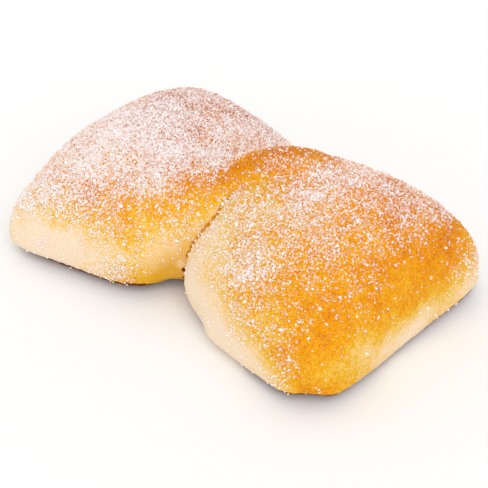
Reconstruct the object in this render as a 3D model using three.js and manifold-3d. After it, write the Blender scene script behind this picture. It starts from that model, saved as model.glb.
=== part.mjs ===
// Bow-shaped sweet bread: a strip of sweet dough with one half twist in its
// middle, proved and baked flat, so that two squarish puffed lobes flare out
// from a neck that crosses between them as a rib.
// Millimetres, +Z up, long side along X, resting on the plane z = 0.
import * as THREE from 'three';
import { mergeVertices } from 'three/addons/utils/BufferGeometryUtils.js';
import Module from 'manifold-3d';

// Driving dimensions of the two lobes. Each side of a lobe stands at its reach
// from the lobe's centre, and its turn, in degrees, swings it anticlockwise
// away from square. The front lobe has one more side, which cuts off its far
// inner corner. The slope makes the top higher towards the back. The lumps are
// soft swellings and dents of that lobe alone, beside the near crease.
const frontLobe = {
  centre: [31.3, -1.2],
  height: 48.7,
  slope: 0.061,
  ends: [
    { facing: 0, turn: -3.1, reach: 37.2 },
    { facing: 180, turn: 34.2, reach: 46.1 },
    { facing: 135, turn: -7.2, reach: 38.6 },
  ],
  flanks: [{ facing: -90, turn: -7.5, reach: 47.1 }, { facing: 90, turn: -0.7, reach: 38.9 }],
  lumps: [
    { at: [1, -14, 35], rise: 0.7, radius: 8 },
    { at: [0, -19, 30], rise: -0.6, radius: 8 },
    { at: [-3, -29, 15], rise: 0.8, radius: 8 },
  ],
};
const rearLobe = {
  centre: [-37, -2.2],
  height: 42.6,
  slope: -0.036,
  ends: [{ facing: 180, turn: -1, reach: 29.8 }, { facing: 0, turn: -9.6, reach: 34.6 }],
  flanks: [{ facing: -90, turn: 10.5, reach: 43.5 }, { facing: 90, turn: -4.4, reach: 43.5 }],
  lumps: [
    { at: [-6, -16, 32], rise: 0.4, radius: 9 },
    { at: [-7, -24, 22], rise: -0.5, radius: 9 },
  ],
};

// The neck's rib runs on a diagonal, from the rear lobe's near side up over
// the middle to the front lobe's far side.
const ribAngle = 44.2;
const ribLength = 48.5;
const ribWidth = 32;
const neckRib = {
  centre: [8.9, 3.4],
  height: 39,
  slope: 0,
  ends: [0, 180].map((turn) => ({ facing: ribAngle, turn, reach: ribLength / 2 })),
  flanks: [90, -90].map((turn) => ({ facing: ribAngle, turn, reach: ribWidth / 2 })),
  lumps: [],
};

// The pillow shape. The belly is the widest level above the base. The tuck is
// the share of the belly's width that the base keeps, and the other three say
// how square the plan is, how round the crown is and how full the corners are.
const bellyHeight = 8.9;
const lobeShape = { tuck: 0.895, squareness: 1.73, crown: 2.76, corners: 1.02 };
const ribShape = { tuck: 0.75, squareness: 2.2, crown: 2.1, corners: 0.3 };

// How softly one side gives way to the next, how sharply a corner's share
// levels off, the length over which a slope counts once, the most that it
// counts, and a share too small to divide by.
const sideSoftness = 0.3;
const cornerSharpness = 8;
const slopeLength = 45;
const slopeLimit = 1.2;
const leastShare = 1e-6;

// Where dough grew together the join is wide and smooth, and where one fold
// only lies against the other it is a tight crease. The front lobe's join with
// the rib is tight at the near side and the rear lobe's at the far side, and
// each changes to smooth between two places along Y. Over the top of the neck,
// the two joins run smoothly into each other.
const creaseWidth = 5;
const frontJoin = { width: 31, creaseEnds: -12, smoothFrom: 4 };
const rearJoin = { width: 36, creaseEnds: 10, smoothFrom: -10 };
const topJoin = { width: 14, narrowAt: 13, wideAt: -1 };

// Unevenness of the whole risen dough: soft swellings and dents, wide ones all
// over and small ones along the near base edge, each with its radius.
const breadLumps = [
  { at: [-10, -26, 2], rise: -1.1, radius: 13 },
  { at: [11, -41, 6], rise: -0.2, radius: 13 },
  { at: [60, -46, 5], rise: -0.6, radius: 13 },
  { at: [68, -4, 3], rise: -0.5, radius: 13 },
  { at: [70, 28, 5], rise: 0.9, radius: 13 },
  { at: [18, 21, 38], rise: -1.4, radius: 13 },
  { at: [-22, -42, 3], rise: 0.2, radius: 13 },
  { at: [-41, -45, 2], rise: -0.6, radius: 13 },
  { at: [-62, -50, 5], rise: 0.2, radius: 13 },
  { at: [-63, -37, 25], rise: -0.6, radius: 13 },
  { at: [-60, -16, 34], rise: 0.5, radius: 13 },
  { at: [-44, 42, 18], rise: 1.2, radius: 13 },
  { at: [-18, 42, 6], rise: -0.2, radius: 13 },
  { at: [46, 38, 16], rise: 0.8, radius: 13 },
  { at: [3, -37, 13], rise: 0.5, radius: 6 },
  { at: [11, -40, 6], rise: -0.3, radius: 6 },
  { at: [17, -44, 5], rise: 0.3, radius: 6 },
  { at: [50, -47, 3], rise: 0.4, radius: 6 },
  { at: [57, -44, 3], rise: -0.6, radius: 6 },
  { at: [64, -38, 3], rise: 0.5, radius: 6 },
  { at: [-10, -26, 3], rise: -0.8, radius: 6 },
  { at: [-3, -31, 5], rise: 0.8, radius: 6 },
];

// Meshing: the grid's step and reach, how it closes up along X round the neck's
// creases, the rounds of evening out, the steps and the probe that bring a point
// onto the surface, and how near the base plane a point may lie before it is cut.
const gridStep = 3.1;
const gridLow = [-82, -62, -16];
const gridHigh = [86, 56, 54];
const closing = { middle: -2, reach: 14, depth: 6 };
const relaxRounds = 14;
const projectSteps = 3;
const probe = 0.2;
const leastSteepness = 0.2;
const baseClearance = 0.7;
const cutDepth = 40;

const crustColour = 0xd98a2e;

const radians = (degrees) => degrees * Math.PI / 180;
const clamp = (value, low, high) => Math.min(high, Math.max(low, value));
const mix = (a, b, share) => a + (b - a) * share;
const separation = (a, b) => Math.hypot(a[0] - b[0], a[1] - b[1], a[2] - b[2]);

// Smooth step from 0 at one place to 1 at the other.
function ramp(value, from, to) {
  const t = clamp((value - from) / (to - from), 0, 1);
  return t * t * (3 - 2 * t);
}

// Union of two distances with a join of the given width.
function joinDistances(a, b, width) {
  const overlap = Math.max(width - Math.abs(a - b), 0) / width;
  return Math.min(a, b) - overlap ** 3 * width / 6;
}

// How far out towards a set of sides a place lies: 0 at their centre, and 1 on
// one of them.
function shareOf(sides, x, y, squareness) {
  let share = 0;
  for (const { facing, turn, reach } of sides) {
    const angle = radians(facing + turn);
    const along = (x * Math.cos(angle) + y * Math.sin(angle)) / reach;
    share += ((along + Math.hypot(along, sideSoftness)) / 2) ** squareness;
  }
  return share;
}

// Rises with the share and levels off at 1.
function levelOff(share) {
  return share / (1 + share ** cornerSharpness) ** (1 / cornerSharpness);
}

// How far a set of lumps swells the dough at a place.
function swelling(lumps, x, y, z) {
  let rise = 0;
  for (const lump of lumps) {
    const away = separation([x, y, z], lump.at) / lump.radius;
    rise += lump.rise * Math.exp(-away * away);
  }
  return rise;
}

// Distance, roughly, from a place to the surface of one puffed piece: less
// than 0 inside. Its widest level is at the belly, above which it domes up,
// and below which it tucks in.
function pillowDistance(piece, shape, x, y, z) {
  const px = x - piece.centre[0];
  const py = y - piece.centre[1];
  const pz = z - bellyHeight;
  const ends = shareOf(piece.ends, px, py, shape.squareness);
  const flanks = shareOf(piece.flanks, px, py, shape.squareness);
  const slant = 1 + piece.slope * clamp(py / slopeLength, -slopeLimit, slopeLimit);
  const domeHeight = (piece.height - bellyHeight) * slant;
  const tuckDepth = bellyHeight / (1 - shape.tuck ** shape.squareness) ** (1 / shape.crown);
  const level = pz > 0 ? pz / domeHeight : -pz / tuckDepth;
  const corner = shape.corners * levelOff(ends) * levelOff(flanks);
  const total = Math.max(ends + flanks - corner + level ** shape.crown, leastShare);
  const plain = Math.hypot(px, py, pz) * (1 - total ** (-1 / shape.crown));
  return plain - swelling(piece.lumps, x, y, z);
}

// How smoothly the two lobes run together over the top of the neck: 1 at the
// middle, and 0 out at the creases.
function topSmoothness(y) {
  const far = ramp(-y, -topJoin.narrowAt, -topJoin.wideAt);
  const near = ramp(y, -topJoin.narrowAt, -topJoin.wideAt);
  return far * near;
}

// Distance from a place to the surface of the whole bread.
function breadDistance(x, y, z) {
  const front = pillowDistance(frontLobe, lobeShape, x, y, z);
  const rear = pillowDistance(rearLobe, lobeShape, x, y, z);
  const rib = pillowDistance(neckRib, ribShape, x, y, z);
  const frontSmooth = ramp(y, frontJoin.creaseEnds, frontJoin.smoothFrom);
  const rearSmooth = ramp(-y, -rearJoin.creaseEnds, -rearJoin.smoothFrom);
  const frontHalf = joinDistances(front, rib, mix(creaseWidth, frontJoin.width, frontSmooth));
  const rearHalf = joinDistances(rear, rib, mix(creaseWidth, rearJoin.width, rearSmooth));
  const width = mix(creaseWidth, topJoin.width, topSmoothness(y));
  return joinDistances(frontHalf, rearHalf, width) - swelling(breadLumps, x, y, z);
}

// Moves a point onto the bread's surface, in the plan alone where its height is
// kept.
function projectPoint(point, keepHeight) {
  for (let step = 0; step < projectSteps; step += 1) {
    const [x, y, z] = point;
    const slope = [
      (breadDistance(x + probe, y, z) - breadDistance(x - probe, y, z)) / (2 * probe),
      (breadDistance(x, y + probe, z) - breadDistance(x, y - probe, z)) / (2 * probe),
      keepHeight ? 0 : (breadDistance(x, y, z + probe) - breadDistance(x, y, z - probe)) / (2 * probe),
    ];
    const steepness = Math.max(Math.hypot(...slope), leastSteepness);
    const move = clamp(breadDistance(x, y, z) / steepness, -gridStep, gridStep);
    for (let axis = 0; axis < 3; axis += 1) {
      point[axis] -= slope[axis] * move / steepness;
    }
  }
}

// Closed mesh of the surface, with one point in each grid cell that the
// surface crosses and one four-sided face round each grid edge that it crosses.
function surfaceMesh() {
  const count = gridLow.map((low, axis) => Math.ceil((gridHigh[axis] - low) / gridStep) + 1);
  const strides = [1, count[0], count[0] * count[1]];
  const corner = (i, j, k) => i + j * strides[1] + k * strides[2];
  const place = (index, axis) => {
    const even = gridLow[axis] + index * gridStep;
    if (axis > 0) return even;
    return even - closing.depth * Math.tanh((even - closing.middle) / closing.reach);
  };
  const values = new Float64Array(count[0] * count[1] * count[2]);
  for (let k = 0; k < count[2]; k += 1) {
    for (let j = 0; j < count[1]; j += 1) {
      for (let i = 0; i < count[0]; i += 1) {
        values[corner(i, j, k)] = breadDistance(place(i, 0), place(j, 1), place(k, 2));
      }
    }
  }

  // The point of a cell is the mean of its edges' crossings.
  const points = [];
  const cellPoint = new Map();
  const cellEdges = [];
  for (let axis = 0; axis < 3; axis += 1) {
    for (let side = 0; side < 4; side += 1) {
      const start = [0, 0, 0];
      start[(axis + 1) % 3] = side & 1;
      start[(axis + 2) % 3] = side >> 1;
      const end = [...start];
      end[axis] = 1;
      cellEdges.push([start, end]);
    }
  }
  for (let k = 0; k < count[2] - 1; k += 1) {
    for (let j = 0; j < count[1] - 1; j += 1) {
      for (let i = 0; i < count[0] - 1; i += 1) {
        const sum = [0, 0, 0];
        let crossings = 0;
        for (const [start, end] of cellEdges) {
          const a = values[corner(i + start[0], j + start[1], k + start[2])];
          const b = values[corner(i + end[0], j + end[1], k + end[2])];
          if (a < 0 === b < 0) continue;
          const t = a / (a - b);
          for (let axis = 0; axis < 3; axis += 1) {
            sum[axis] += mix(start[axis], end[axis], t);
          }
          crossings += 1;
        }
        if (crossings === 0) continue;
        cellPoint.set(corner(i, j, k), points.length);
        points.push([i, j, k].map((index, axis) => place(index + sum[axis] / crossings, axis)));
      }
    }
  }

  // Each crossed grid edge gives a face, turned so that it looks outwards.
  const faces = [];
  for (let k = 1; k < count[2] - 1; k += 1) {
    for (let j = 1; j < count[1] - 1; j += 1) {
      for (let i = 1; i < count[0] - 1; i += 1) {
        const here = corner(i, j, k);
        for (let axis = 0; axis < 3; axis += 1) {
          const inside = values[here] < 0;
          if (inside === values[here + strides[axis]] < 0) continue;
          const u = strides[(axis + 1) % 3];
          const v = strides[(axis + 2) % 3];
          const ring = [here - u - v, here - v, here, here - u].map((cell) => cellPoint.get(cell));
          faces.push(inside ? ring : ring.reverse());
        }
      }
    }
  }
  return { points, faces };
}

// Evens out the spacing of the points along the surface and brings them back
// onto it. Last, points too near the base plane move away from it.
function relaxMesh({ points, faces }) {
  const neighbours = points.map(() => new Set());
  for (const face of faces) {
    face.forEach((a, n) => {
      const b = face[(n + 1) % 4];
      neighbours[a].add(b);
      neighbours[b].add(a);
    });
  }
  for (let round = 0; round < relaxRounds; round += 1) {
    const means = points.map((point, index) => {
      const around = [...neighbours[index]];
      return point.map((own, axis) => {
        const mean = around.reduce((sum, other) => sum + points[other][axis], 0) / around.length;
        return (own + mean) / 2;
      });
    });
    means.forEach((mean, index) => {
      projectPoint(mean, false);
      points[index] = mean;
    });
  }
  for (const point of points) {
    if (Math.abs(point[2]) < baseClearance) {
      point[2] = point[2] < 0 ? -baseClearance : baseClearance;
      projectPoint(point, true);
    }
  }
}

// Splits each four-sided face in two along its shorter diagonal.
function splitFaces({ points, faces }) {
  const lengthOf = (a, b) => separation(points[a], points[b]);
  const triangles = [];
  for (const [a, b, c, d] of faces) {
    if (lengthOf(a, c) < lengthOf(b, d)) triangles.push(a, b, c, a, c, d);
    else triangles.push(a, b, d, b, c, d);
  }
  return triangles;
}

const wasm = await Module();
wasm.setup();

// A closed geometry as a solid that can be cut.
function solidOf(geometry) {
  const bare = geometry.clone();
  bare.deleteAttribute('normal');
  bare.deleteAttribute('uv');
  const merged = mergeVertices(bare);
  return new wasm.Manifold(new wasm.Mesh({
    numProp: 3,
    vertProperties: new Float32Array(merged.attributes.position.array),
    triVerts: new Uint32Array(merged.index.array),
  }));
}

// A solid as a geometry with flat-shaded faces ready for a mesh.
function geometryOf(solid) {
  const { vertProperties, triVerts } = solid.getMesh();
  const geometry = new THREE.BufferGeometry();
  geometry.setAttribute('position', new THREE.BufferAttribute(new Float32Array(vertProperties), 3));
  geometry.setIndex(new THREE.BufferAttribute(new Uint32Array(triVerts), 1));
  geometry.computeVertexNormals();
  return geometry;
}

// The whole bread: the puffed surface cut off flat where it sat on the tray,
// with the middle of its box over the origin.
function breadGeometry() {
  const mesh = surfaceMesh();
  relaxMesh(mesh);
  const puffed = new THREE.BufferGeometry();
  puffed.setAttribute('position', new THREE.Float32BufferAttribute(mesh.points.flat(), 3));
  puffed.setIndex(splitFaces(mesh));
  const tray = new THREE.BoxGeometry(
    gridHigh[0] - gridLow[0],
    gridHigh[1] - gridLow[1],
    cutDepth,
  );
  tray.translate((gridHigh[0] + gridLow[0]) / 2, (gridHigh[1] + gridLow[1]) / 2, -cutDepth / 2);
  const geometry = geometryOf(solidOf(puffed).subtract(solidOf(tray)));
  geometry.computeBoundingBox();
  const middle = geometry.boundingBox.getCenter(new THREE.Vector3());
  geometry.translate(-middle.x, -middle.y, 0);
  return geometry;
}

const crust = new THREE.MeshStandardMaterial({ color: crustColour, roughness: 0.75, metalness: 0 });
const bread = new THREE.Mesh(breadGeometry(), crust);
bread.name = 'bow_bread';

const part = new THREE.Group();
part.add(bread);

export default part;
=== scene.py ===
"""Looks of the sugared bow-shaped sweet bread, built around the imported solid.

Lengths here are millimetres, and are turned into metres where Blender is given
them.
"""
import math

import bpy
import numpy as np
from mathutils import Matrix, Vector


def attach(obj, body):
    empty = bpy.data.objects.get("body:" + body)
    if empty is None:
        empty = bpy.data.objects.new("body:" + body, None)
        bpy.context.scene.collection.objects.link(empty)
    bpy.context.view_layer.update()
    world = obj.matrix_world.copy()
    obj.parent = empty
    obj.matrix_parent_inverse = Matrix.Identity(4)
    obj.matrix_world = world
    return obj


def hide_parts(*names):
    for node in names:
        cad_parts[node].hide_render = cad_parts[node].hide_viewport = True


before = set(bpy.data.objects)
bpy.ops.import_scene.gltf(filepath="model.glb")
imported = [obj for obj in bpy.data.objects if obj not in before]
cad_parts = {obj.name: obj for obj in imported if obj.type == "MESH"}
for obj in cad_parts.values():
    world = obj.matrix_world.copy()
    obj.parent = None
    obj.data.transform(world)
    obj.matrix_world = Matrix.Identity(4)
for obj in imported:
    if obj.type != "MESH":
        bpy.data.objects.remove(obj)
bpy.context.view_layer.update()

MM = 0.001

# Seeds of the noises, each with room for its layers, and of the grains' draws.
RELIEF_SEED = 20
PALE_EDGE_SEED = 25
BROWNING_SEED = 26
SUGAR_SEED = 28
GRAIN_SEED = 20

# The dough is modelled about the place where its lobes meet, and the middle of
# the bread's box lies here from it.
MIDDLE = np.array((1.36, -2.93, 0.0))

# The two lobes and the neck's rib: each side is (facing, turn, reach), in
# degrees and millimetres, and each lump of a lobe alone is (place, rise, radius).
FRONT_LOBE = dict(
    centre=(31.3, -1.2),
    height=48.7,
    slope=0.061,
    ends=((0, -3.1, 37.2), (180, 34.2, 46.1), (135, -7.2, 38.6)),
    flanks=((-90, -7.5, 47.1), (90, -0.7, 38.9)),
    lumps=(((1, -14, 35), 0.7, 8), ((0, -19, 30), -0.6, 8), ((-3, -29, 15), 0.8, 8)),
)
REAR_LOBE = dict(
    centre=(-37, -2.2),
    height=42.6,
    slope=-0.036,
    ends=((180, -1, 29.8), (0, -9.6, 34.6)),
    flanks=((-90, 10.5, 43.5), (90, -4.4, 43.5)),
    lumps=(((-6, -16, 32), 0.4, 9), ((-7, -24, 22), -0.5, 9)),
)
RIB_ANGLE = 44.2
RIB_LENGTH = 48.5
RIB_WIDTH = 32
NECK_RIB = dict(
    centre=(8.9, 3.4),
    height=39,
    slope=0,
    ends=tuple((RIB_ANGLE, turn, RIB_LENGTH / 2) for turn in (0, 180)),
    flanks=tuple((RIB_ANGLE, turn, RIB_WIDTH / 2) for turn in (90, -90)),
    lumps=(),
)

# The height at which the dough is widest, and how the pieces are rounded.
BELLY_HEIGHT = 8.9
LOBE_SHAPE = dict(tuck=0.895, squareness=1.73, crown=2.76, corners=1.02)
RIB_SHAPE = dict(tuck=0.75, squareness=2.2, crown=2.1, corners=0.3)
SIDE_SOFTNESS = 0.3
CORNER_SHARPNESS = 8
SLOPE_LENGTH = 45
SLOPE_LIMIT = 1.2
LEAST_SHARE = 1e-6

# The joins' widths: a tight crease at one side and smooth at the other.
CREASE_WIDTH = 0.8
FRONT_JOIN = dict(width=31, crease_ends=-12, smooth_from=4)
REAR_JOIN = dict(width=36, crease_ends=10, smooth_from=-10)
TOP_JOIN = dict(width=14, narrow_at=13, wide_at=-1)

# Soft swellings and dents of the whole dough: (place, rise, radius).
LUMPS = (
    ((-10, -26, 2), -1.1, 13),
    ((11, -41, 6), -0.2, 13),
    ((60, -46, 5), -0.6, 13),
    ((68, -4, 3), -0.5, 13),
    ((70, 28, 5), 0.9, 13),
    ((18, 21, 38), -1.4, 13),
    ((-22, -42, 3), 0.2, 13),
    ((-41, -45, 2), -0.6, 13),
    ((-62, -50, 5), 0.2, 13),
    ((-63, -37, 25), -0.6, 13),
    ((-60, -16, 34), 0.5, 13),
    ((-44, 42, 18), 1.2, 13),
    ((-18, 42, 6), -0.2, 13),
    ((46, 38, 16), 0.8, 13),
    ((3, -37, 13), 0.5, 6),
    ((11, -40, 6), -0.3, 6),
    ((17, -44, 5), 0.3, 6),
    ((50, -47, 3), 0.4, 6),
    ((57, -44, 3), -0.6, 6),
    ((64, -38, 3), 0.5, 6),
    ((-10, -26, 3), -0.8, 6),
    ((-3, -31, 5), 0.8, 6),
)

# The crust lies this far inside the solid, so that the sugar grains on it stand
# little out of the solid.
INSET = 0.15

# Fine mesh of the crust: its grid, the rounds that even it out, the step that
# slopes are measured by and the height under which the underside is flat.
GRID_STEP = 0.8
GRID_LOW = np.array((-74.0, -58.0, -14.0))
GRID_HIGH = np.array((77.0, 52.0, 51.0))
RELAX_ROUNDS = 8
PROBE = 0.15
LEAST_STEEPNESS = 0.2
BASE_SNAP = 0.35

# Layers of noise, each (size of its features, strength). The noise repeats after
# so many of its features, and the relief sets in between these two heights.
NOISE_LATTICE = 32
RELIEF_LAYERS = ((16, 0.14), (6, 0.15), (2.4, 0.08))
RELIEF_LOW = (0, 2)
PALE_EDGE_LAYERS = ((11, 2.2),)
BROWNING_LAYERS = ((7, 0.05), (2.5, 0.03))
SUGAR_LAYERS = ((8, 0.1), (2.8, 0.12))


def ramp(value, start, end):
    """Smooth step from 0 at start to 1 at end."""
    t = np.clip((value - start) / (end - start), 0, 1)
    return t * t * (3 - 2 * t)


def mix(a, b, share):
    """Value the given share of the way from a to b."""
    return a + (b - a) * share


def join_distances(a, b, width):
    """Union of two distances with a join of the given width."""
    overlap = np.maximum(width - np.abs(a - b), 0) / width
    return np.minimum(a, b) - overlap ** 3 * width / 6


def share_of(sides, x, y, squareness):
    """How far out towards a set of sides a place lies: 1 on one of them."""
    share = 0
    for facing, turn, reach in sides:
        angle = math.radians(facing + turn)
        along = (x * math.cos(angle) + y * math.sin(angle)) / reach
        share = share + ((along + np.hypot(along, SIDE_SOFTNESS)) / 2) ** squareness
    return share


def level_off(share):
    """A share that levels off softly at 1."""
    return share / (1 + share ** CORNER_SHARPNESS) ** (1 / CORNER_SHARPNESS)


def swelling(lumps, x, y, z):
    """How far a set of lumps swells the dough at each place."""
    rise_there = 0
    for at, rise, radius in lumps:
        away = (x - at[0]) ** 2 + (y - at[1]) ** 2 + (z - at[2]) ** 2
        rise_there = rise_there + rise * np.exp(-away / radius ** 2)
    return rise_there


def pillow_distance(piece, shape, x, y, z):
    """Distance, roughly, to the surface of one puffed piece."""
    px = x - piece["centre"][0]
    py = y - piece["centre"][1]
    pz = z - BELLY_HEIGHT
    ends = share_of(piece["ends"], px, py, shape["squareness"])
    flanks = share_of(piece["flanks"], px, py, shape["squareness"])
    slant = 1 + piece["slope"] * np.clip(py / SLOPE_LENGTH, -SLOPE_LIMIT, SLOPE_LIMIT)
    dome_height = (piece["height"] - BELLY_HEIGHT) * slant
    base_share = 1 - shape["tuck"] ** shape["squareness"]
    tuck_depth = BELLY_HEIGHT / base_share ** (1 / shape["crown"])
    level = np.where(pz > 0, pz / dome_height, -pz / tuck_depth)
    corner = shape["corners"] * level_off(ends) * level_off(flanks)
    total = np.maximum(ends + flanks - corner + level ** shape["crown"], LEAST_SHARE)
    away = np.sqrt(px * px + py * py + pz * pz)
    return away * (1 - total ** (-1 / shape["crown"])) - swelling(piece["lumps"], x, y, z)


def half_distances(x, y, z):
    """Distances to the front lobe with the rib and to the rear lobe with it."""
    front = pillow_distance(FRONT_LOBE, LOBE_SHAPE, x, y, z)
    rear = pillow_distance(REAR_LOBE, LOBE_SHAPE, x, y, z)
    rib = pillow_distance(NECK_RIB, RIB_SHAPE, x, y, z)
    front_smooth = ramp(y, FRONT_JOIN["crease_ends"], FRONT_JOIN["smooth_from"])
    rear_smooth = ramp(-y, -REAR_JOIN["crease_ends"], -REAR_JOIN["smooth_from"])
    return (
        join_distances(front, rib, mix(CREASE_WIDTH, FRONT_JOIN["width"], front_smooth)),
        join_distances(rear, rib, mix(CREASE_WIDTH, REAR_JOIN["width"], rear_smooth)),
    )


def top_smoothness(y):
    """How smoothly the lobes run together: 1 at the neck's middle."""
    far = ramp(-y, -TOP_JOIN["narrow_at"], -TOP_JOIN["wide_at"])
    near = ramp(y, -TOP_JOIN["narrow_at"], -TOP_JOIN["wide_at"])
    return far * near


def crust_distance(places):
    """Distance, roughly, from places to the crust: less than 0 inside."""
    x, y, z = places[..., 0], places[..., 1], places[..., 2]
    front, rear = half_distances(x, y, z)
    top_width = mix(CREASE_WIDTH, TOP_JOIN["width"], top_smoothness(y))
    distance = join_distances(front, rear, top_width)
    return distance - swelling(LUMPS, x, y, z) + INSET


def slope_of(places):
    """Gradient of the crust's distance."""
    slope = np.empty_like(places)
    for axis in range(3):
        step = np.zeros(3)
        step[axis] = PROBE
        ahead = crust_distance(places + step)
        behind = crust_distance(places - step)
        slope[:, axis] = (ahead - behind) / (2 * PROBE)
    return slope


def onto_crust(places):
    """Places moved onto the crust."""
    slope = slope_of(places)
    steepness = np.maximum(np.linalg.norm(slope, axis=1), LEAST_STEEPNESS)
    move = np.clip(crust_distance(places) / steepness, -GRID_STEP, GRID_STEP)
    return places - slope * (move / steepness)[:, None]


def grid_values():
    """Distances at the corners of the grid, one level at a time."""
    counts = np.ceil((GRID_HIGH - GRID_LOW) / GRID_STEP).astype(int) + 1
    along = [GRID_LOW[axis] + GRID_STEP * np.arange(counts[axis]) for axis in range(3)]
    values = np.empty(counts, np.float32)
    across, deep = np.meshgrid(along[0], along[1], indexing="ij")
    for level, height in enumerate(along[2]):
        places = np.stack([across, deep, np.full_like(across, height)], -1)
        values[:, :, level] = crust_distance(places)
    return values


def crossed_cells(inside):
    """Index of each grid cell that the crust crosses."""
    full = np.array(inside.shape) - 1
    corners_in = np.zeros(full, np.int8)
    for dx, dy, dz in np.ndindex(2, 2, 2):
        corners_in += inside[dx:full[0] + dx, dy:full[1] + dy, dz:full[2] + dz]
    return np.argwhere((corners_in > 0) & (corners_in < 8))


def cell_points(values, cells):
    """One point for each cell: the mean of its edges' crossings."""
    total = np.zeros((len(cells), 3))
    count = np.zeros(len(cells))
    for axis in range(3):
        for side in range(4):
            start = np.zeros(3, int)
            start[(axis + 1) % 3] = side & 1
            start[(axis + 2) % 3] = side >> 1
            end = start.copy()
            end[axis] = 1
            a = values[tuple((cells + start).T)]
            b = values[tuple((cells + end).T)]
            crossed = (a < 0) != (b < 0)
            t = np.where(crossed, a / np.where(crossed, a - b, 1), 0)
            total += crossed[:, None] * (start + (end - start) * t[:, None])
            count += crossed
    return GRID_LOW + GRID_STEP * (cells + total / count[:, None])


def cell_faces(inside, cells):
    """A four-sided face round each crossed grid edge, looking outwards."""
    number = np.full(np.array(inside.shape) - 1, -1, np.int64)
    number[tuple(cells.T)] = np.arange(len(cells))
    faces = []
    for axis in range(3):
        u = np.zeros(3, int)
        v = np.zeros(3, int)
        u[(axis + 1) % 3] = 1
        v[(axis + 2) % 3] = 1
        here = [slice(1, -1)] * 3
        there = [slice(1, -1)] * 3
        there[axis] = slice(2, None)
        edges = np.argwhere(inside[tuple(here)] != inside[tuple(there)]) + 1
        ring = np.stack([number[tuple((edges - back).T)] for back in (u + v, v, 0 * u, u)], 1)
        turned = ~inside[tuple(edges.T)]
        ring[turned] = ring[turned][:, ::-1]
        faces.append(ring)
    return np.concatenate(faces)


def evened(points, faces):
    """Points spaced evenly along the crust."""
    pairs = np.concatenate([faces[:, [n, (n + 1) % 4]] for n in range(4)])
    count = np.bincount(pairs[:, 0], minlength=len(points))
    for _ in range(RELAX_ROUNDS):
        sums = [
            np.bincount(pairs[:, 0], points[pairs[:, 1], axis], len(points))
            for axis in range(3)
        ]
        means = np.stack(sums, 1) / count[:, None]
        points = onto_crust((points + means) / 2)
    return points


def noise(places, scale, seed):
    """Smooth noise from -1 to 1 whose features have the given size."""
    lattice = np.random.default_rng(seed).uniform(-1, 1, (NOISE_LATTICE,) * 3)
    spot = places / scale
    low = np.floor(spot).astype(int)
    t = spot - low
    t = t * t * (3 - 2 * t)
    total = 0
    for corner in np.ndindex(2, 2, 2):
        weight = np.prod(np.where(corner, t, 1 - t), axis=1)
        index = (low + corner) % NOISE_LATTICE
        total = total + weight * lattice[index[:, 0], index[:, 1], index[:, 2]]
    return total


def layered_noise(places, layers, seed):
    """Sum of the layers of noise at each place."""
    total = 0
    for number, (scale, strength) in enumerate(layers):
        total = total + strength * noise(places, scale, seed + number)
    return total


def crust_surface():
    """Points, faces and outward normals of the crust, flat underneath."""
    values = grid_values()
    inside = values < 0
    cells = crossed_cells(inside)
    faces = cell_faces(inside, cells)
    points = onto_crust(evened(cell_points(values, cells), faces))
    slope = slope_of(points)
    normals = slope / np.linalg.norm(slope, axis=1)[:, None]
    relief = layered_noise(points, RELIEF_LAYERS, RELIEF_SEED)
    free = ramp(points[:, 2], *RELIEF_LOW)
    points = points + normals * (relief * free)[:, None]
    under = points[:, 2] < BASE_SNAP
    points[under, 2] = 0
    normals[under] = (0, 0, -1)
    return points, faces, normals


def spot_sum(points, spots):
    """Sum of soft round spots, each (place, amount, radius), at each point."""
    total = 0
    for at, amount, radius in spots:
        away = ((points - at) ** 2).sum(1)
        total = total + amount * np.exp(-away / radius ** 2)
    return total


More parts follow.
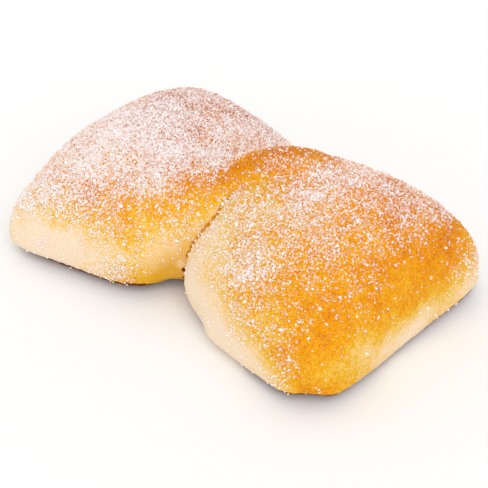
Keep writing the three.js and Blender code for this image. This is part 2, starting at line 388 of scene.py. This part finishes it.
# Browning of the crust: 0 is pale dough and 1 is dark brown. The sides are
# pale up to a height that changes from lobe to lobe across these places, and
# soft spots, each (place, amount, radius), add to the browning.
LOBES_MEET = (-6, 6)
PALE_SIDE = dict(rear=(13, 30), front=(6.5, 22))
BROWNING_LOW = 0.06
BROWNING_HIGH = 0.62
BROWNING_MOST = 0.84
BROWNING_SPOTS = (
    # The rear lobe's top and the neck.
    ((-32, 2, 40), 0.2, 24),
    ((-47, 21, 34), 0.28, 12),
    ((-31, 30, 31), 0.22, 12),
    ((-14, 30, 28), 0.3, 9),
    ((-2, 2, 41), -0.1, 7),
    ((3, -2, 41), 0.1, 7),
    ((10, 4, 44), 0.14, 8),
    ((9, -8, 40), -0.18, 7),
    ((3, -16, 32), -0.06, 9),
    ((-4, -25, 20), 0.1, 6),
    # The rear lobe's near side.
    ((-38, -23, 38), -0.12, 8),
    ((-29, -24, 36), 0.06, 7),
    ((-26, -31, 32), -0.06, 7),
    ((-37, -35, 31), 0.14, 7),
    ((-50, -40, 28), 0.1, 7),
    ((-46, -41, 24), -0.22, 13),
    ((-48, -46, 7), -0.1, 16),
    ((-28, -43, 6), 0.1, 6),
    ((-20, -40, 7), 0.22, 6),
    ((-14, -36, 6), 0.26, 8),
    ((-18, -38, 16), 0.22, 8),
    ((-16, -34, 25), -0.09, 9),
    ((-16, -26, 30), -0.1, 9),
    # The front lobe's top.
    ((18, 2, 46), -0.06, 6),
    ((22, 11, 44), 0.06, 8),
    ((35, 14, 43), -0.08, 7),
    ((45, 16, 41), 0.16, 10),
    ((53, 6, 40), 0.06, 8),
    ((43, -14, 42), -0.08, 9),
    ((25, -17, 42), -0.09, 7),
    ((18, -17, 40), -0.14, 7),
    ((13, -24, 36), -0.07, 8),
    ((29, -29, 36), -0.14, 8),
    # The front lobe's near side, pale along the crease.
    ((4, -24, 27), -0.42, 10),
    ((3, -36, 17), -0.2, 6),
    ((10, -42, 12), -0.1, 12),
    ((12, -38, 20), -0.42, 13),
    ((18, -42, 20), 0.1, 8),
    ((24, -43, 14), -0.24, 12),
    ((35, -42, 28), -0.08, 7),
    ((45, -46, 20), -0.2, 9),
    ((48, -48, 13), 0.28, 7),
    # The front lobe's near corner and outer end.
    ((58, -45, 7), 0.52, 8),
    ((63, -41, 14), -0.08, 4),
    ((64, -37, 8), 0.18, 8),
    ((65, -32, 7), 0.2, 9),
    ((58, -38, 27), 0.08, 8),
    ((61, -38, 19), -0.08, 7),
    ((65, -29, 19), -0.26, 8),
    ((66, -22, 10), 0.13, 9),
    ((66, -14, 17), -0.12, 9),
    ((65, 1, 27), -0.06, 6),
    ((67, 12, 7), 0.18, 9),
    ((68, 14, 16), -0.08, 8),
    ((64, 16, 28), 0.08, 6),
    ((57, 26, 31), 0.14, 7),
    ((65, 26, 23), -0.1, 6),
)


def browning_of(points):
    """Browning at each point of the crust."""
    height = points[:, 2] + layered_noise(points, PALE_EDGE_LAYERS, PALE_EDGE_SEED)
    rear = ramp(height, *PALE_SIDE["rear"])
    front = ramp(height, *PALE_SIDE["front"])
    browned = mix(rear, front, ramp(points[:, 0], *LOBES_MEET))
    brown = mix(BROWNING_LOW, BROWNING_HIGH, browned) + spot_sum(points, BROWNING_SPOTS)
    uneven = layered_noise(points, BROWNING_LAYERS, BROWNING_SEED)
    return np.minimum(brown, BROWNING_MOST) + uneven


# The share of the crust that sugar covers. A little lies all round, and each
# lobe has its own share over that, which sets in this far from the middle and
# where the crust faces up enough. The rear lobe's ends along the line through
# the two places here, over its near edge. Soft spots, each (place, amount,
# radius), add to the share, and grains thin out low down.
SUGAR_EDGE = ((-52, -50), (-5, -9))
SUGAR_EDGE_WIDTH = (-14, 6)
SUGAR_SETS_IN = (-2, 8)
SUGAR_SIDES = 0.105
SUGAR_REAR = 0.72
SUGAR_FRONT = 0.04
FACING_UP = dict(rear=(0.1, 0.7), front=(0, 0.5))
SUGAR_LIMITS = (0.02, 0.94)
SUGAR_LOW = (2, 12)
SUGAR_SPOTS = (
    # The rear lobe's top.
    ((-28, 14, 38), -0.1, 14),
    ((-30, 26, 33), -0.28, 8),
    ((-48, 16, 35), -0.14, 8),
    ((-44, 26, 34), -0.12, 7),
    ((-54, 20, 33), -0.34, 10),
    ((-51, 35, 27), -0.4, 9),
    ((-38, 36, 27), -0.4, 8),
    ((-25, 34, 27), -0.3, 8),
    ((-14, 31, 27), -0.2, 7),
    ((-59, 2, 33), -0.14, 10),
    ((-60, -14, 32), -0.14, 10),
    ((-62, -28, 28), -0.24, 9),
    # The rear lobe's near side.
    ((-41, -22, 38), 0.2, 9),
    ((-30, -24, 36), -0.26, 7),
    ((-23, -24, 34), 0.26, 7),
    ((-16, -26, 30), -0.22, 8),
    ((-20, -31, 28), -0.13, 6),
    ((-47, -36, 30), -0.08, 10),
    ((-63, -45, 17), -0.2, 8),
    ((-56, -44, 10), 0.06, 14),
    ((-31, -42, 22), 0.18, 8),
    ((-17, -35, 23), 0.2, 9),
    ((-8, -27, 25), 0.32, 6),
    ((-21, -41, 7), 0.6, 7),
    ((-7, -31, 10), -0.44, 9),
    # The neck.
    ((-9, -13, 35), -0.38, 8),
    ((-2, -4, 39), -0.2, 6),
    ((4, 0, 43), 0.06, 8),
    ((4, -14, 35), 0.24, 7),
    ((5, -24, 29), 0.16, 8),
    ((6, 13, 40), -0.1, 7),
    ((15, 18, 39), -0.2, 7),
    ((18, 8, 45), -0.26, 8),
    # The front lobe's top.
    ((30, 0, 46), 0.5, 16),
    ((36, -8, 45), -0.1, 7),
    ((33, 14, 43), 0.14, 6),
    ((45, 19, 39), -0.14, 6),
    ((46, 13, 42), 0.32, 12),
    ((54, 13, 38), 0.12, 9),
    ((55, -2, 39), 0.1, 9),
    ((28, -14, 43), 0.24, 10),
    ((40, -18, 41), 0.3, 10),
    ((38, -22, 41), -0.08, 7),
    ((46, -22, 39), 0.12, 6),
    ((54, -15, 37), 0.08, 5),
    ((19, -19, 39), 0.1, 6),
    ((21, -25, 37), -0.12, 6),
    ((15, -23, 36), 0.26, 10),
    # The front lobe's near side.
    ((17, -34, 30), 0.2, 8),
    ((25, -34, 32), 0.37, 11),
    ((36, -32, 35), 0.16, 8),
    ((43, -40, 29), -0.08, 6),
    ((43, -45, 22), 0.2, 7),
    ((42, -48, 13), -0.26, 8),
    ((30, -44, 20), 0.2, 8),
    ((12, -38, 16), -0.1, 13),
    ((51, -36, 32), 0.2, 6),
    ((50, -48, 16), 0.33, 5),
    ((47, -48, 7), 0.42, 5),
    # The front lobe's outer end.
    ((60, -42, 10), -0.28, 10),
    ((66, -30, 9), -0.24, 11),
    ((59, -38, 26), -0.24, 8),
    ((61, -30, 27), 0.08, 6),
    ((61, -25, 28), -0.1, 6),
    ((63, -18, 28), 0.12, 7),
    ((59, -16, 32), 0.06, 13),
    ((64, -14, 26), -0.24, 11),
    ((65, -4, 26), -0.14, 6),
    ((66, 7, 27), -0.26, 8),
    ((67, -14, 9), -0.18, 11),
    ((68, 13, 8), -0.2, 9),
    ((68, 14, 18), 0.14, 7),
    ((67, 28, 15), 0.3, 8),
    ((63, 27, 26), -0.12, 6),
    ((60, 31, 23), -0.14, 6),
    ((52, 26, 33), 0.36, 8),
)


def sugar_of(points, normals):
    """Share of the crust that sugar covers at each point."""
    start, end = np.array(SUGAR_EDGE, float)
    along = (end - start) / np.linalg.norm(end - start)
    behind = (points[:, 1] - start[1]) * along[0] - (points[:, 0] - start[0]) * along[1]
    up = normals[:, 2]
    rear = ramp(behind, *SUGAR_EDGE_WIDTH) * ramp(up, *FACING_UP["rear"])
    rear = rear * ramp(-points[:, 0], *SUGAR_SETS_IN)
    front = ramp(points[:, 0], *SUGAR_SETS_IN) * ramp(up, *FACING_UP["front"])
    cover = SUGAR_SIDES + SUGAR_REAR * rear + SUGAR_FRONT * front
    cover = cover + spot_sum(points, SUGAR_SPOTS)
    patchy = layered_noise(points, SUGAR_LAYERS, SUGAR_SEED)
    return np.clip(cover + patchy, *SUGAR_LIMITS)


def mesh_object(name, points, faces, smooth):
    """Object with a mesh whose faces all have as many corners."""
    mesh = bpy.data.meshes.new(name)
    mesh.vertices.add(len(points))
    mesh.vertices.foreach_set("co", (points * MM).astype(np.float32).ravel())
    mesh.loops.add(faces.size)
    mesh.loops.foreach_set("vertex_index", faces.astype(np.int32).ravel())
    mesh.polygons.add(len(faces))
    starts = np.arange(0, faces.size, faces.shape[1], dtype=np.int32)
    mesh.polygons.foreach_set("loop_start", starts)
    mesh.polygons.foreach_set("use_smooth", np.full(len(faces), smooth))
    mesh.update(calc_edges=True)
    piece = bpy.data.objects.new(name, mesh)
    bpy.context.scene.collection.objects.link(piece)
    return piece


def set_attribute(piece, name, values):
    """Stores one number for each point of a piece's mesh."""
    attribute = piece.data.attributes.new(name, "FLOAT", "POINT")
    attribute.data.foreach_set("value", values.astype(np.float32))


# Sugar grains: their usual size and how much it varies, their three sides and
# how much those and the corners vary, the share of their size that they sink in
# by, and the share of the sugar's cover that they make up.
GRAIN_SIZE = 0.52
GRAIN_SPREAD = 0.27
GRAIN_LIMITS = (0.34, 0.9)
GRAIN_SIDES = (1.1, 0.78, 0.6)
GRAIN_SIDE_SPREAD = 0.16
GRAIN_CORNER_SPREAD = 0.09
GRAIN_SINK = 0.18
GRAIN_SHARE = 0.5

# A box's corners and faces.
BOX_CORNERS = np.array([(i & 1, i >> 1 & 1, i >> 2) for i in range(8)]) - 0.5
BOX_FACES = np.array(
    ((0, 2, 3, 1), (4, 5, 7, 6), (0, 1, 5, 4), (2, 6, 7, 3), (0, 4, 6, 2), (1, 3, 7, 5))
)


def random_turns(count, draw):
    """Random rotation matrices."""
    q = draw.normal(size=(count, 4))
    q /= np.linalg.norm(q, axis=1)[:, None]
    w, x, y, z = q.T
    rows = (
        (1 - 2 * (y * y + z * z), 2 * (x * y - z * w), 2 * (x * z + y * w)),
        (2 * (x * y + z * w), 1 - 2 * (x * x + z * z), 2 * (y * z - x * w)),
        (2 * (x * z - y * w), 2 * (y * z + x * w), 1 - 2 * (x * x + y * y)),
    )
    return np.stack([np.stack(row, -1) for row in rows], 1)


def scatter(points, faces, normals, browning, cover, draw):
    """Places and normals of the grains, and the browning and cover there."""
    a, b, c, d = (points[faces[:, n]] for n in range(4))
    area = np.linalg.norm(np.cross(c - a, d - b), axis=1) / 2
    footprint = GRAIN_SIZE ** 2 * GRAIN_SIDES[1]
    wanted = -GRAIN_SHARE * np.log(1 - cover[faces].mean(1)) * area / footprint
    count = np.floor(wanted + draw.random(len(wanted))).astype(int)
    face = np.repeat(np.arange(len(faces)), count)
    u, v = draw.random((2, len(face)))
    weights = np.stack([(1 - u) * (1 - v), u * (1 - v), u * v, (1 - u) * v], 1)
    corner = faces[face]
    place = (points[corner] * weights[..., None]).sum(1)
    out = (normals[corner] * weights[..., None]).sum(1)
    out /= np.maximum(np.linalg.norm(out, axis=1), LEAST_STEEPNESS)[:, None]
    return place, out, (browning[corner] * weights).sum(1), (cover[corner] * weights).sum(1)


def grain_meshes(place, out, draw):
    """Size and corners of a blocky crystal at each place."""
    count = len(place)
    size = GRAIN_SIZE * np.exp(GRAIN_SPREAD * draw.normal(size=count))
    size = np.clip(size, *GRAIN_LIMITS)
    sides = np.array(GRAIN_SIDES) * (1 + GRAIN_SIDE_SPREAD * draw.uniform(-1, 1, (count, 3)))
    shifts = draw.uniform(-1, 1, (count, *BOX_CORNERS.shape))
    corners = BOX_CORNERS + GRAIN_CORNER_SPREAD * shifts
    corners = corners * (sides * size[:, None])[:, None, :]
    corners = np.einsum("nij,nkj->nki", random_turns(count, draw), corners)
    lift = (0.5 - GRAIN_SINK) * size * GRAIN_SIDES[2]
    return size, corners + (place + out * lift[:, None])[:, None, :]


def new_material(name):
    """A new material and its Principled shader."""
    material = bpy.data.materials.new(name)
    material.use_nodes = True
    return material, material.node_tree.nodes["Principled BSDF"]


def add_node(tree, kind, **values):
    """Adds a node and sets its properties and input values."""
    node = tree.nodes.new(kind)
    for name, value in values.items():
        if hasattr(node, name):
            setattr(node, name, value)
        else:
            node.inputs[name].default_value = value
    return node


def srgb(red, green, blue):
    """Linear colour of an sRGB one given from 0 to 255."""
    def linear(value):
        value /= 255
        return value / 12.92 if value <= 0.04045 else ((value + 0.055) / 1.055) ** 2.4
    return linear(red), linear(green), linear(blue), 1


# Colours of the crust by its browning, and of what lies on it.
CRUST_COLOURS = (
    (0.0, srgb(245, 222, 193)),
    (0.2, srgb(243, 206, 142)),
    (0.38, srgb(236, 186, 52)),
    (0.55, srgb(235, 159, 0)),
    (0.7, srgb(226, 136, 0)),
    (0.85, srgb(204, 110, 0)),
    (1.0, srgb(146, 70, 2)),
)
SUGAR_WHITE = srgb(249, 243, 243)
# Browned underside, also used as painted shade in two small cracks.
BASE_BROWN_AND_CRACK_SHADE = srgb(110, 52, 14)
# Partly browner crust and partly painted shade of the crevice along the crease.
CREASE_BROWN_AND_SHADE = srgb(196, 128, 0)
# Painted shade: the darker olive yellow of the hollow by the near crease.
HOLLOW_SHADE_YELLOW = srgb(220, 162, 0)
# Partly browner crust and partly painted shade round the sugar grains.
GAP_BROWN_AND_SHADE = srgb(164, 106, 10)

# Noises of the crust's colour, each with the size of its features, its detail,
# the range that is read from it and the range that this gives. The dust's has
# the first two alone.
BROAD_MOTTLES = (5.0, 3.0, (0.3, 0.7), (-0.05, 0.05))
PATCHES = (1.8, 3.0, (0.3, 0.7), (-0.1, 0.1))
FINE_MOTTLES = (0.6, 3.0, (0.35, 0.65), (-0.18, 0.18))
# Noise of the darker gaps: painted shade round the grains, partly browner crust.
GAP_SHADE_NOISE = (0.6, 1.0, (0.54, 0.66), (0.0, 0.45))
FROST = (0.5, 2.0, (0.55, 0.62), (0.0, 0.15))
CREASE_NOISE = (1.0, 3.0, (0.3, 0.7), (-0.45, 0.2))
BASE_NOISE = (2.2, 3.0, (0.3, 0.7), (-0.5, 0.5))
DUST_NOISE = (0.75, 1.0)

# Ranges that are read, and those that they give. By the level over which dust
# lies, crust with little sugar is smoother, and the dust on it thinner. Pale
# crust shows little of the darker gaps between grains.
ROUGHENED = ((0.47, 0.62), (1.0, 0.45))
DUST_THICKNESS = ((0.4, 0.62), (0.95, 0.5))
DUST_BORDER = ((-0.015, 0.03), (0.0, 1.0))
GAP_SHADE_BY_BROWNING = ((0.05, 0.4), (0.15, 1.0))
CREASE_BORDER = ((0.2, 0.7), (0.0, 1.0))
BASE_BORDER = ((-0.1, 0.25), (0.0, 1.0))

# The shaders' settings, and how high dust stands, in millimetres.
CRUST_ROUGHNESS = 0.65
CRUST_SPECULAR = 0.06
DUST_BUMP = 0.5
DUST_RISE = 0.2
SUGAR_ROUGHNESS = 0.3
SUGAR_SPECULAR = 0.5


def browned_colour(tree, browning):
    """Colour of crust by its browning, from pale dough to dark crust."""
    node = tree.nodes.new("ShaderNodeValToRGB")
    stops = node.color_ramp.elements
    while len(stops) < len(CRUST_COLOURS):
        stops.new(0.5)
    for stop, (at, colour) in zip(stops, CRUST_COLOURS):
        stop.position = at
        stop.color = colour
    tree.links.new(browning, node.inputs["Fac"])
    return node.outputs["Color"]


def attribute_value(tree, name):
    """Value of one of the mesh's attributes."""
    node = add_node(tree, "ShaderNodeAttribute", attribute_name=name)
    return node.outputs["Fac"]


def noise_value(tree, size, detail):
    """Noise from 0 to 1 with features of the given size in millimetres."""
    where = tree.nodes.new("ShaderNodeTexCoord").outputs["Object"]
    node = add_node(tree, "ShaderNodeTexNoise", Scale=1 / (size * MM), Detail=detail)
    tree.links.new(where, node.inputs["Vector"])
    return node.outputs["Fac"]


def math_node(tree, operation, first, second):
    """Result of a math node on two sockets."""
    node = tree.nodes.new("ShaderNodeMath")
    node.operation = operation
    tree.links.new(first, node.inputs[0])
    tree.links.new(second, node.inputs[1])
    return node.outputs[0]


def mapped(tree, value, reads, gives):
    """A value's range mapped smoothly to another."""
    node = tree.nodes.new("ShaderNodeMapRange")
    node.interpolation_type = "SMOOTHSTEP"
    tree.links.new(value, node.inputs["Value"])
    names = ("From Min", "From Max", "To Min", "To Max")
    for name, number in zip(names, reads + gives):
        node.inputs[name].default_value = number
    return node.outputs["Result"]


def noise_layer(tree, size, detail, reads, gives):
    """Noise whose range is mapped to another."""
    return mapped(tree, noise_value(tree, size, detail), reads, gives)


def mixed(tree, share, first, second):
    """Mix of two colours, each a socket or a colour."""
    node = tree.nodes.new("ShaderNodeMix")
    node.data_type = "RGBA"
    tree.links.new(share, node.inputs["Factor"])
    colours = [socket for socket in node.inputs if socket.type == "RGBA"]
    for socket, value in zip(colours, (first, second)):
        if isinstance(value, tuple):
            socket.default_value = value
        else:
            tree.links.new(value, socket)
    return [socket for socket in node.outputs if socket.type == "RGBA"][0]


def mottled(tree, browning, roughened):
    """Browning with its broad mottles and, as far as it is rough, finer ones."""
    patches = noise_layer(tree, *PATCHES)
    grainy = math_node(tree, "ADD", patches, noise_layer(tree, *FINE_MOTTLES))
    grainy = math_node(tree, "MULTIPLY", grainy, roughened)
    mottling = math_node(tree, "ADD", noise_layer(tree, *BROAD_MOTTLES), grainy)
    return math_node(tree, "ADD", browning, mottling)


def with_gap_shade_and_frost(tree, colour, browning, roughened):
    """A colour with darker gaps, partly browner crust and partly painted shade round the
    grains, and white frost, as far as the crust is rough.
    """
    by_browning = mapped(tree, browning, *GAP_SHADE_BY_BROWNING)
    gap_shade = math_node(tree, "MULTIPLY", noise_layer(tree, *GAP_SHADE_NOISE), by_browning)
    gap_shade = math_node(tree, "MULTIPLY", gap_shade, roughened)
    # Painted shade round the grains, partly browner crust, darkens the gaps.
    colour = mixed(tree, gap_shade, colour, GAP_BROWN_AND_SHADE)
    frost = math_node(tree, "MULTIPLY", noise_layer(tree, *FROST), roughened)
    return mixed(tree, frost, colour, SUGAR_WHITE)


def dust_share(tree, level):
    """How much dust shows: it lies where a fine noise is over the level."""
    over = math_node(tree, "SUBTRACT", noise_value(tree, *DUST_NOISE), level)
    thickness = mapped(tree, level, *DUST_THICKNESS)
    return math_node(tree, "MULTIPLY", mapped(tree, over, *DUST_BORDER), thickness)


def bordered(tree, colour, name, noise_look, border, inner):
    """A colour that turns to the inner one where an attribute passes an uneven border."""
    value = math_node(tree, "ADD", attribute_value(tree, name), noise_layer(tree, *noise_look))
    return mixed(tree, mapped(tree, value, *border), colour, inner)


def crust_material():
    """Baked crust with mottled browning, fine sugar dust and a dark base edge, with painted
    shade in the hollow, the crease, two cracks and round the grains.
    """
    material, shader = new_material("baked_crust")
    tree = material.node_tree
    browning = attribute_value(tree, "browning")
    level = attribute_value(tree, "dust")
    roughened = mapped(tree, level, *ROUGHENED)
    colour = browned_colour(tree, mottled(tree, browning, roughened))
    # Painted shade of the hollow by the near crease.
    colour = mixed(tree, attribute_value(tree, "hollow_shade"), colour, HOLLOW_SHADE_YELLOW)
    colour = with_gap_shade_and_frost(tree, colour, browning, roughened)
    dust = dust_share(tree, level)
    colour = mixed(tree, dust, colour, SUGAR_WHITE)
    # The crease's floor: partly browner crust, partly painted shade of the crevice.
    colour = bordered(tree, colour, "crease_brown_and_shade", CREASE_NOISE, CREASE_BORDER, CREASE_BROWN_AND_SHADE)
    # The browned underside along the base, and painted shade in two small cracks.
    colour = bordered(tree, colour, "base", BASE_NOISE, BASE_BORDER, BASE_BROWN_AND_CRACK_SHADE)
    tree.links.new(colour, shader.inputs["Base Color"])
    shader.inputs["Roughness"].default_value = CRUST_ROUGHNESS
    shader.inputs["Specular IOR Level"].default_value = CRUST_SPECULAR
    bump = add_node(tree, "ShaderNodeBump", Strength=DUST_BUMP, Distance=DUST_RISE * MM)
    tree.links.new(dust, bump.inputs["Height"])
    tree.links.new(bump.outputs["Normal"], shader.inputs["Normal"])
    return material


def sugar_material():
    """White sugar that takes a little of the crust's colour."""
    material, shader = new_material("sugar_crystal")
    tree = material.node_tree
    crust_colour = browned_colour(tree, attribute_value(tree, "browning"))
    colour = mixed(tree, attribute_value(tree, "tint"), SUGAR_WHITE, crust_colour)
    tree.links.new(colour, shader.inputs["Base Color"])
    shader.inputs["Roughness"].default_value = SUGAR_ROUGHNESS
    shader.inputs["Specular IOR Level"].default_value = SUGAR_SPECULAR
    return material


# The crease's darker floor, partly browner crust and partly painted shade of the
# crevice: how far it reaches to each side, and where that grows towards the near
# edge; where it fades out low down, and towards the neck's middle.
CREASE_REACH = (0.8, 1.4)
CREASE_DEEPENS = (24, 31)
CREASE_LOW = (0.5, 2)
CREASE_END = (8, 15)

# Painted shade of the hollow beside the near crease, on the rear lobe's side of
# it: a darker olive yellow where the recess lies in shade.
HOLLOW_SHADE_SPOTS = (
    ((-6.5, -29.5, 8.5), 1.1, 8.8),
    ((-4.9, -28.5, 12.6), -0.8, 1.7),
    ((-12, -34, 4), 0.5, 7),
    ((-3, -26, 19), 0.4, 4),
    ((-1, -21, 26), 0.3, 3),
)
HOLLOW_SHADE_LIMITS = (0, 0.9)
HOLLOW_SHADE_SIDE = (-0.6, 0.6)

# How high the browned underside shows along the sides, and where that differs.
# The last two spots are painted shade in the small cracks at the near crease's
# lower end.
BASE_EDGE = 4.7
BASE_EDGE_AND_CRACK_SHADE_SPOTS = (
    ((22, -44, 3), -4, 17),
    ((56, -44, 3), 1.4, 9),
    ((66, -12, 3), -2.6, 16),
    ((68, 26, 3), 1.6, 8),
    ((-62, -46, 3), -1.4, 9),
    ((-15, -38, 4), 1.8, 7),
    ((-4.4, -28.2, 10.8), 15, 1.1),
    ((-4.9, -28.2, 7.4), 5, 1.2),
)

# Fine sugar dust: how much of it goes with the sugar's cover, the heights that
# it sets in between, the least of it, and how far it moves the level of noise
# over which it lies from the noise's middle.
DUST_SHARE = 0.4
DUST_LOW = (0, 3)
DUST_LEAST = 0.001
DUST_SPREAD = 0.065
NOISE_MIDDLE = 0.5


def dust_level(points, sugar):
    """Level of noise over which dust lies, lower where there is more sugar."""
    dusted = (1 - (1 - sugar) ** DUST_SHARE) * ramp(points[:, 2], *DUST_LOW)
    return NOISE_MIDDLE - DUST_SPREAD * np.log(np.maximum(dusted, DUST_LEAST) / (1 - dusted))


def crease_brown_and_shade_share(points, past_crease):
    """How far each point takes the crease's browner crust and painted shade, from 0 to 1."""
    reach = mix(*CREASE_REACH, ramp(-points[:, 1], *CREASE_DEEPENS))
    share = ramp(1 - np.abs(past_crease) / reach, 0, 1) * (1 - top_smoothness(points[:, 1]))
    return share * ramp(points[:, 2], *CREASE_LOW) * ramp(np.abs(points[:, 1]), *CREASE_END)


def hollow_shade_share(points, past_crease):
    """How far each point takes the painted shade of the hollow."""
    share = np.clip(spot_sum(points, HOLLOW_SHADE_SPOTS), *HOLLOW_SHADE_LIMITS)
    return share * ramp(past_crease, *HOLLOW_SHADE_SIDE)


def make_crust(points, faces, browning, sugar):
    """The crust, with the attributes that its material reads."""
    front_half, rear_half = half_distances(points[:, 0], points[:, 1], points[:, 2])
    past_crease = front_half - rear_half
    base_edge_and_crack_shade = BASE_EDGE + spot_sum(points, BASE_EDGE_AND_CRACK_SHADE_SPOTS) - points[:, 2]
    crust = mesh_object("crust", points - MIDDLE, faces, True)
    set_attribute(crust, "browning", browning)
    set_attribute(crust, "dust", dust_level(points, sugar))
    set_attribute(crust, "crease_brown_and_shade", crease_brown_and_shade_share(points, past_crease))
    set_attribute(crust, "hollow_shade", hollow_shade_share(points, past_crease))
    set_attribute(crust, "base", base_edge_and_crack_shade)
    crust.data.materials.append(crust_material())
    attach(crust, "root")
    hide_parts("bow_bread")


# The grains in joined meshes, each within the triangles allowed, and how much
# of the crust's colour a grain takes where grains are sparse or dense.
GRAINS_PER_PIECE = 16000
TINT_SPARSE = 0.56
TINT_DENSE = 0.02
TINT_SPREAD = 0.3
TINT_MOST = 0.8


def make_grains(points, faces, normals, browning, sugar):
    """The sugar grains, in joined meshes from the smallest to the largest."""
    draw = np.random.default_rng(GRAIN_SEED)
    cover = sugar * ramp(points[:, 2], *SUGAR_LOW)
    place, out, browning_there, cover_there = scatter(
        points, faces, normals, browning, cover, draw
    )
    size, corners = grain_meshes(place, out, draw)
    tint = draw.normal(mix(TINT_SPARSE, TINT_DENSE, cover_there), TINT_SPREAD)
    tint = np.clip(tint, 0, TINT_MOST)
    order = np.argsort(size, kind="stable")
    crystal = sugar_material()
    corner_count = len(BOX_CORNERS)
    parts = np.array_split(order, math.ceil(len(order) / GRAINS_PER_PIECE))
    for number, part in enumerate(parts):
        first_corners = corner_count * np.arange(len(part))
        part_points = corners[part].reshape(-1, 3) - MIDDLE
        part_faces = (BOX_FACES + first_corners[:, None, None]).reshape(-1, 4)
        grains = mesh_object(f"sugar_{number + 1}", part_points, part_faces, False)
        set_attribute(grains, "browning", np.repeat(browning_there[part], corner_count))
        set_attribute(grains, "tint", np.repeat(tint[part], corner_count))
        grains.data.materials.append(crystal)
        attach(grains, "root")


# The camera: its target, how far round and up it stands and how far away, as
# fitted to the photo's outline.
CAMERA_TARGET = (7.78, -12.06, 20.0)
CAMERA_AROUND = 38.64
CAMERA_UP = 38.86
CAMERA_AWAY = 559.6
CAMERA_LENS = 132.3
CAMERA_CLIP_START = 0.01

# Studio light: an even white surround and one large soft key light.
WHITE = (1, 1, 1, 1)
WORLD_STRENGTH = 0.8
KEY_STRENGTH = 1.08
KEY_SOFTNESS = 40
KEY_AROUND = 44
KEY_UP = 50

# The pale floor, and how far it reaches to each side.
FLOOR_REACH = 3000
FLOOR_COLOUR = (0.95, 0.95, 0.95, 1)
FLOOR_ROUGHNESS = 0.9


def direction(around, up):
    """Direction that lies the given degrees round from the near side and up."""
    around = math.radians(around)
    up = math.radians(up)
    level = math.cos(up)
    return Vector((math.sin(around) * level, -math.cos(around) * level, math.sin(up)))


def make_camera():
    """The camera, at the photo's viewing angle."""
    back = direction(CAMERA_AROUND, CAMERA_UP)
    camera = bpy.data.objects.new("camera", bpy.data.cameras.new("camera"))
    camera.data.lens = CAMERA_LENS
    camera.data.clip_start = CAMERA_CLIP_START
    camera.location = (Vector(CAMERA_TARGET) + back * CAMERA_AWAY) * MM
    camera.rotation_euler = (-back).to_track_quat("-Z", "Y").to_euler()
    bpy.context.scene.collection.objects.link(camera)
    bpy.context.scene.camera = camera


def make_floor():
    """A plain pale floor at the height of the bread's underside."""
    flat = np.array(((-1, -1, 0), (1, -1, 0), (1, 1, 0), (-1, 1, 0)), float) * FLOOR_REACH
    floor = mesh_object("floor", flat, np.array(((0, 1, 2, 3),)), False)
    material, shader = new_material("pale_floor")
    shader.inputs["Base Color"].default_value = FLOOR_COLOUR
    shader.inputs["Roughness"].default_value = FLOOR_ROUGHNESS
    floor.data.materials.append(material)


def make_light():
    """The white surround and the key light."""
    world = bpy.data.worlds.new("studio")
    world.use_nodes = True
    backdrop = world.node_tree.nodes["Background"]
    backdrop.inputs["Color"].default_value = WHITE
    backdrop.inputs["Strength"].default_value = WORLD_STRENGTH
    bpy.context.scene.world = world
    light = bpy.data.lights.new("key", "SUN")
    light.energy = KEY_STRENGTH
    light.angle = math.radians(KEY_SOFTNESS)
    lamp = bpy.data.objects.new("key", light)
    towards = direction(KEY_AROUND, KEY_UP)
    lamp.rotation_euler = towards.to_track_quat("Z", "Y").to_euler()
    bpy.context.scene.collection.objects.link(lamp)


points, faces, normals = crust_surface()
browning = browning_of(points)
sugar = sugar_of(points, normals)
make_crust(points, faces, browning, sugar)
make_grains(points, faces, normals, browning, sugar)
make_floor()
make_light()
make_camera()
bpy.context.scene.view_settings.view_transform = "Standard"
